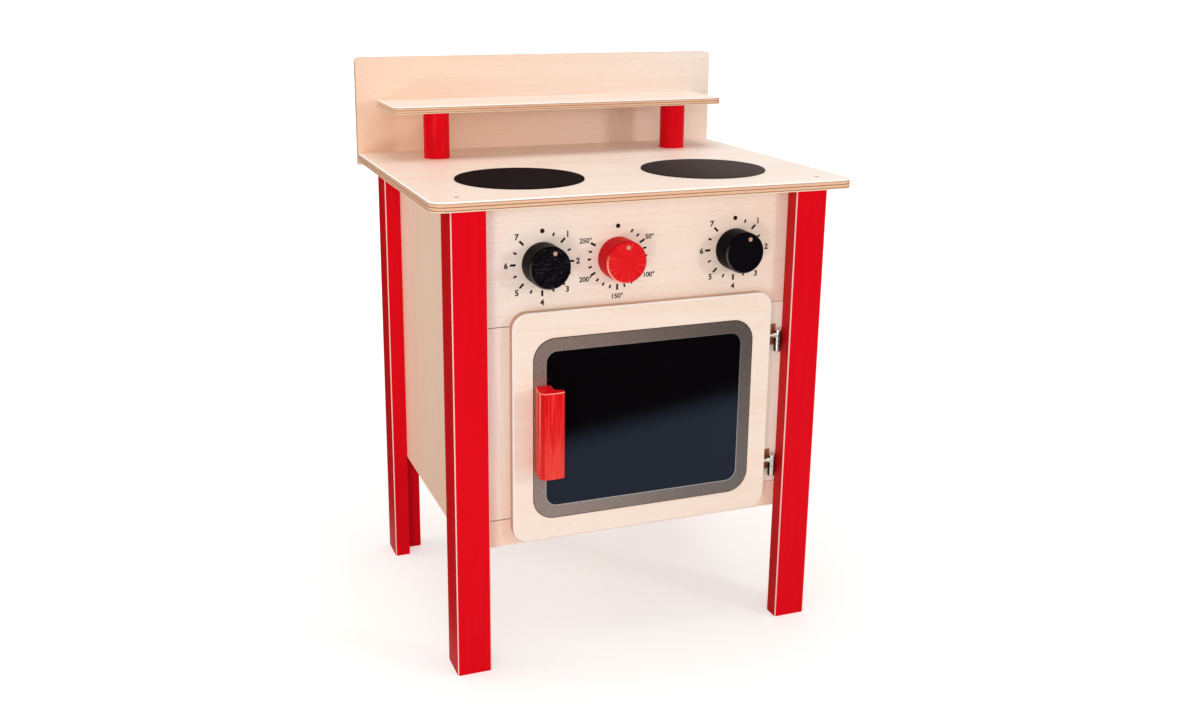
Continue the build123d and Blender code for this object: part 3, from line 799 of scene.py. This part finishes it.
# A ring of ticks has its tick, its number of places, its first angle and its step in degrees, and one
# place in so many that stays empty, or 0 for none.
plateDial = {
    "ticks": [("longTick", 7, 45.0, 45.0, 0), ("shortTick", 7, 22.5, 45.0, 0)],
    "figures": [(str(number), 45.0 * number) for number in range(1, 8)],
    "figureRadii": (0.0384, 0.0406),    # sideways, and up or down
    "figureHeight": 0.0060,
    "boldness": 0.036,          # how far the figures' outlines are let out, as a share of their size
}
ovenDial = {
    "ticks": [("longTick", 5, 60.0, 60.0, 0), ("shortTick", 18, 30.0, 15.0, 4)],
    "figures": [(str(50 * number) + "°", 60.0 * number) for number in range(1, 6)],
    "figureRadii": (0.0408, 0.0404),
    "figureHeight": 0.0054,
    "boldness": 0.026,
}


def printInk():
    material, tree, shader, source = startMaterial("blackPrint")
    grit = noise(tree, source["Object"], scale=dial["gritScale"], detail=2.0)
    pale = rescale(tree, grit, 0.0, dial["gritShare"])
    colour = mixColour(tree, pale, dial["ink"], stain["black"]["light"])
    finishShader(shader, colour, rescale(tree, grit, *dial["roughness"]),
                 bumped(tree, grit, *dial["relief"]), Specular_IOR_Level=dial["gloss"])
    return material


def tickRingTree():
    # Ticks round a circle that faces the front, clockwise from the top.
    tree = bpy.data.node_groups.new("tickRing", "GeometryNodeTree")
    kinds = {"Count": "Int", "First Angle": "Float", "Step Angle": "Float", "Radius": "Float",
             "Width": "Float", "Length": "Float", "Depth": "Float", "Left Out Every": "Int",
             "Ink": "Material"}
    for name, kind in kinds.items():
        tree.interface.new_socket(name, in_out="INPUT", socket_type="NodeSocket" + kind)
    tree.interface.new_socket("Ticks", in_out="OUTPUT", socket_type="NodeSocketGeometry")
    given = addNode(tree, "NodeGroupInput").outputs
    index = addNode(tree, "GeometryNodeInputIndex").outputs["Index"]
    angle = maths(tree, "MULTIPLY_ADD", index, given["Step Angle"], given["First Angle"])
    sine = times(tree, maths(tree, "SINE", angle), given["Radius"])
    cosine = times(tree, maths(tree, "COSINE", angle), given["Radius"])
    spot = addNode(tree, "ShaderNodeCombineXYZ", {"X": sine, "Z": cosine}).outputs[0]
    turn = addNode(tree, "ShaderNodeCombineXYZ", {"Y": angle}).outputs[0]
    points = addNode(tree, "GeometryNodePoints", {"Count": given["Count"], "Position": spot}).outputs[0]
    named = {"Geometry": points, "Name": "turn", "Value": turn}
    turned = addNode(tree, "GeometryNodeStoreNamedAttribute", named, data_type="FLOAT_VECTOR").outputs[0]
    # The place left empty is the one halfway through each run of so many.
    every = maths(tree, "MAXIMUM", given["Left Out Every"], 1.0)
    shifted = maths(tree, "ADD", index, times(tree, every, 0.5))
    isLeftOut = maths(tree, "LESS_THAN", maths(tree, "MODULO", shifted, every), 0.5)
    isUsed = maths(tree, "GREATER_THAN", given["Left Out Every"], 0.5)
    unwanted = {"Geometry": turned, "Selection": times(tree, isLeftOut, isUsed)}
    kept = addNode(tree, "GeometryNodeDeleteGeometry", unwanted).outputs[0]
    sizes = {"X": given["Width"], "Y": given["Depth"], "Z": given["Length"]}
    block = addNode(tree, "ShaderNodeCombineXYZ", sizes).outputs[0]
    tick = addNode(tree, "GeometryNodeMeshCube", {"Size": block}).outputs["Mesh"]
    stored = addNode(tree, "GeometryNodeInputNamedAttribute", {"Name": "turn"}, data_type="FLOAT_VECTOR")
    copies = {"Points": kept, "Instance": tick, "Rotation": stored.outputs["Attribute"]}
    placed = addNode(tree, "GeometryNodeInstanceOnPoints", copies).outputs[0]
    solid = addNode(tree, "GeometryNodeRealizeInstances", {"Geometry": placed}).outputs[0]
    dressed = {"Geometry": solid, "Material": given["Ink"]}
    inked = addNode(tree, "GeometryNodeSetMaterial", dressed).outputs[0]
    addNode(tree, "NodeGroupOutput", {"Ticks": inked})
    return tree


def setInput(modifier, name, value):
    for item in modifier.node_group.interface.items_tree:
        if item.name == name and item.in_out == "INPUT":
            modifier[item.identifier] = value


def linked(name, data):
    made = bpy.data.objects.new(name, data)
    bpy.context.scene.collection.objects.link(made)
    return made


def evaluatedMesh(holder):
    # The holder's finished shape as a plain mesh; the holder goes.
    bpy.context.view_layer.update()
    graph = bpy.context.evaluated_depsgraph_get()
    mesh = bpy.data.meshes.new_from_object(holder.evaluated_get(graph))
    bpy.data.objects.remove(holder)
    return mesh


def tickMesh(tree, ink, size, count, first, step, leftOutEvery):
    holder = linked("tickHolder", bpy.data.meshes.new("tickHolder"))
    modifier = holder.modifiers.new("ticks", "NODES")
    modifier.node_group = tree
    width, length = dial[size]
    values = {"Count": count, "First Angle": math.radians(first), "Step Angle": math.radians(step),
              "Radius": dial["markRadius"], "Width": width, "Length": length, "Depth": dial["printDepth"],
              "Left Out Every": leftOutEvery, "Ink": ink}
    for name, value in values.items():
        setInput(modifier, name, value)
    return evaluatedMesh(holder)


def figureMesh(words, height, boldness):
    # Upright figures, centred on the origin, facing the front.
    curve = bpy.data.curves.new("figure", "FONT")
    curve.body = words
    curve.align_x = "CENTER"
    curve.offset = boldness
    curve.resolution_u = dial["figureSteps"]
    holder = linked("figure", curve)
    bpy.context.view_layer.update()
    figureTall = max(corner[1] for corner in holder.bound_box)
    curve.extrude = dial["printDepth"] / 2 * figureTall / height
    mesh = evaluatedMesh(holder)
    scale = height / figureTall
    upright = Matrix.Rotation(math.pi / 2, 4, "X") @ Matrix.Diagonal((scale, scale, scale, 1))
    mesh.transform(upright @ Matrix.Translation((0, -figureTall / 2, 0)))
    return mesh


def dotMesh(radius, depth):
    body = bmesh.new()
    bmesh.ops.create_cone(body, cap_ends=True, segments=dial["dotSides"], radius1=radius, radius2=radius,
                          depth=depth)
    bmesh.ops.rotate(body, verts=body.verts, matrix=Matrix.Rotation(math.pi / 2, 3, "X"))
    mesh = bpy.data.meshes.new("dot")
    body.to_mesh(mesh)
    body.free()
    return mesh


def joinedPiece(name, parts, material):
    # One object from several meshes, each with the place it goes to.
    body = bmesh.new()
    for mesh, place in parts:
        mesh.transform(Matrix.Translation(place))
        body.from_mesh(mesh)
    whole = bpy.data.meshes.new(name)
    body.to_mesh(whole)
    body.free()
    whole.materials.clear()
    whole.materials.append(material)
    for polygon in whole.polygons:
        polygon.material_index = 0
    return linked(name, whole)


def printDial(name, knob, layout, tree, ink):
    low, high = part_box(knob)
    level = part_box("control_panel")[0].y + dial["sunk"] - dial["printDepth"] / 2
    middle = Vector(((low.x + high.x) / 2, level, (low.z + high.z) / 2))
    parts = [(tickMesh(tree, ink, *ring), middle) for ring in layout["ticks"]]
    zeroDot = middle + Vector((0, 0, dial["zeroDotRadius"]))
    parts.append((dotMesh(dial["zeroDotSize"] / 2, dial["printDepth"]), zeroDot))
    sideways, upward = layout["figureRadii"]
    for words, degrees in layout["figures"]:
        angle = math.radians(degrees)
        place = middle + Vector((sideways * math.sin(angle), 0, upward * math.cos(angle)))
        parts.append((figureMesh(words, layout["figureHeight"], layout["boldness"]), place))
    piece = joinedPiece(name, parts, ink)
    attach(piece, "cabinet")


ink = printInk()
tickTree = tickRingTree()
printDial("leftPlatePrint", "left_knob", plateDial, tickTree, ink)
printDial("ovenHeatPrint", "middle_knob", ovenDial, tickTree, ink)
printDial("rightPlatePrint", "right_knob", plateDial, tickTree, ink)
print("toy oven: the scales are printed")


# Studio: a pale floor, a plain white surround, soft lamps and the camera
studio = {
    "floorSize": 60.0,
    "floorColour": paint(222, 222, 222),
    "floorRoughness": 0.9,
    "floorGlow": (0.46, 0.9),   # keeps the open floor white in the picture, near the oven and far from it
    "glowReach": (0.5, 2.0),    # the distances from the oven between which that glow grows
    "dayColour": (1.0, 0.96, 0.91, 1.0),
    "dayLevel": 0.55,           # light from all round, where 1 shows a colour as it is written
    "aim": (0.0, -0.10, 0.35),  # the point that every lamp faces
}
darkCard = {
    "size": 16.0,
    "height": 0.002,
    "colour": (0.004, 0.004, 0.005, 1.0),
    "turn": 17.0,               # degrees by which the part in front of the oven is turned
    "frontFade": (0.61, 0.73),  # how far from the middle of the oven that part begins and is full
    "frontLeft": (-0.10, 0.05),         # its left end
    "leftFade": (0.20, 0.24),   # where the part on the oven's left begins and is full
    "leftFront": (-0.40, -0.25),        # its front end
}
lamps = {
    "softRight": {"place": (1.30, -1.55, 0.75), "size": 0.3, "level": 0.16, "colour": (1.0, 1.0, 1.0)},
    "softLeft": {"place": (-1.15, -1.50, 0.12), "size": 0.4, "level": 0.20, "colour": (1.0, 0.97, 0.93)},
    "softFront": {"place": (-0.60, -1.80, 0.92), "size": 0.8, "level": 0.16, "colour": (1.0, 0.98, 0.96)},
    "softSide": {"place": (-1.50, 0.35, 1.05), "size": 0.8, "level": 0.15, "colour": (1.0, 0.96, 0.91)},
    "softTop": {"place": (0.10, 0.0, 2.10), "size": 1.2, "level": 0.36, "colour": (1.0, 1.0, 1.0)},
}
view = {
    "lens": 37.389,
    "shift": (0.0313, -0.05),
    "place": (-0.5084, -1.3003, 0.7203),
    "yaw": 20.076,              # degrees to the right of straight back
    "pitch": 14.654,            # degrees down
    "roll": 0.305,
}


def flatStage(name, size, height, material):
    mesh = bpy.data.meshes.new(name)
    corners = [(x * size / 2, y * size / 2, height) for x, y in ((-1, -1), (1, -1), (1, 1), (-1, 1))]
    mesh.from_pydata(corners, [], [(0, 1, 2, 3)])
    mesh.materials.append(material)
    sheet = linked(name, mesh)
    return sheet


def makeFloor():
    material, tree, shader, source = startMaterial("paleFloor")
    finishShader(shader, studio["floorColour"], studio["floorRoughness"], Specular_IOR_Level=0.0)
    seen = addNode(tree, "ShaderNodeLightPath").outputs["Is Camera Ray"]
    away = vectorMaths(tree, "LENGTH", source["Object"])["Value"]
    level = rescale(tree, smoothStep(tree, away, *studio["glowReach"]), *studio["floorGlow"])
    glow = addNode(tree, "ShaderNodeEmission", {"Strength": times(tree, seen, level)})
    both = addNode(tree, "ShaderNodeAddShader", {0: shader.outputs[0], 1: glow.outputs[0]})
    wire(tree, both.outputs[0], tree.nodes["Material Output"].inputs["Surface"])
    flatStage("floor", studio["floorSize"], 0, material)


def makeDarkCard():
    # A dark sheet on the floor, in front and on the left, that only reflections see. It keeps the window
    # black in its upper half and the gloss on the red legs free of white.
    material, tree, shader, source = startMaterial("darkCard")
    place = parted(tree, source["Object"])
    turn = math.radians(darkCard["turn"])
    sideways = times(tree, place[sideAxis], -math.sin(turn))
    ahead = maths(tree, "MULTIPLY_ADD", place[depthAxis], -math.cos(turn), sideways)
    front = smoothStep(tree, ahead, *darkCard["frontFade"])
    front = times(tree, front, smoothStep(tree, place[sideAxis], *darkCard["frontLeft"]))
    left = smoothStep(tree, times(tree, place[sideAxis], -1.0), *darkCard["leftFade"])
    left = times(tree, left, smoothStep(tree, place[depthAxis], *darkCard["leftFront"]))
    finishShader(shader, darkCard["colour"], 1.0, Specular_IOR_Level=0.0)
    wire(tree, maths(tree, "MAXIMUM", front, left), shader.inputs["Alpha"])
    card = flatStage("darkCard", darkCard["size"], darkCard["height"], material)
    for way in ("camera", "diffuse", "transmission", "volume_scatter", "shadow"):
        setattr(card, "visible_" + way, False)


def makeWorld():
    # White to the camera, to glass and to gloss, and the day's colour and level to everything else.
    world = bpy.data.worlds.new("studio")
    world.use_nodes = True
    bpy.context.scene.world = world
    tree = world.node_tree
    path = addNode(tree, "ShaderNodeLightPath").outputs
    direct = maths(tree, "MAXIMUM", path["Is Camera Ray"], path["Is Transmission Ray"])
    direct = maths(tree, "MAXIMUM", direct, path["Is Glossy Ray"])
    background = tree.nodes["Background"]
    wire(tree, mixColour(tree, direct, studio["dayColour"], (1, 1, 1, 1)), background.inputs["Color"])
    wire(tree, rescale(tree, direct, studio["dayLevel"], 1.0), background.inputs["Strength"])


def makeLamp(name, place, size, level, colour):
    # At level 1 a lamp alone shows a colour as it is written.
    data = bpy.data.lights.new(name, "AREA")
    data.color = colour
    data.shape = "DISK"
    data.size = size
    reach = Vector(studio["aim"]) - Vector(place)
    data.energy = level * (math.pi * reach.length) ** 2
    lamp = linked(name, data)
    lamp.location = place
    lamp.rotation_euler = reach.to_track_quat("-Z", "Y").to_euler()


def makeCamera():
    yaw, pitch, roll = (math.radians(view[turn]) for turn in ("yaw", "pitch", "roll"))
    forward = Vector((math.sin(yaw) * math.cos(pitch), math.cos(yaw) * math.cos(pitch), -math.sin(pitch)))
    level = Vector((math.cos(yaw), -math.sin(yaw), 0))
    upward = level.cross(forward)
    right = level * math.cos(roll) + upward * math.sin(roll)
    top = upward * math.cos(roll) - level * math.sin(roll)
    turned = Matrix((right, top, -forward)).transposed()
    data = bpy.data.cameras.new("studioCamera")
    data.lens = view["lens"]
    data.shift_x, data.shift_y = view["shift"]
    camera = linked("studioCamera", data)
    camera.matrix_world = Matrix.Translation(view["place"]) @ turned.to_4x4()
    bpy.context.scene.camera = camera


makeFloor()
makeDarkCard()
makeWorld()
for lampName, lamp in lamps.items():
    makeLamp(lampName, **lamp)
makeCamera()
bpy.context.scene.view_settings.view_transform = "Standard"
print("toy oven: floor, lamps and camera are set")
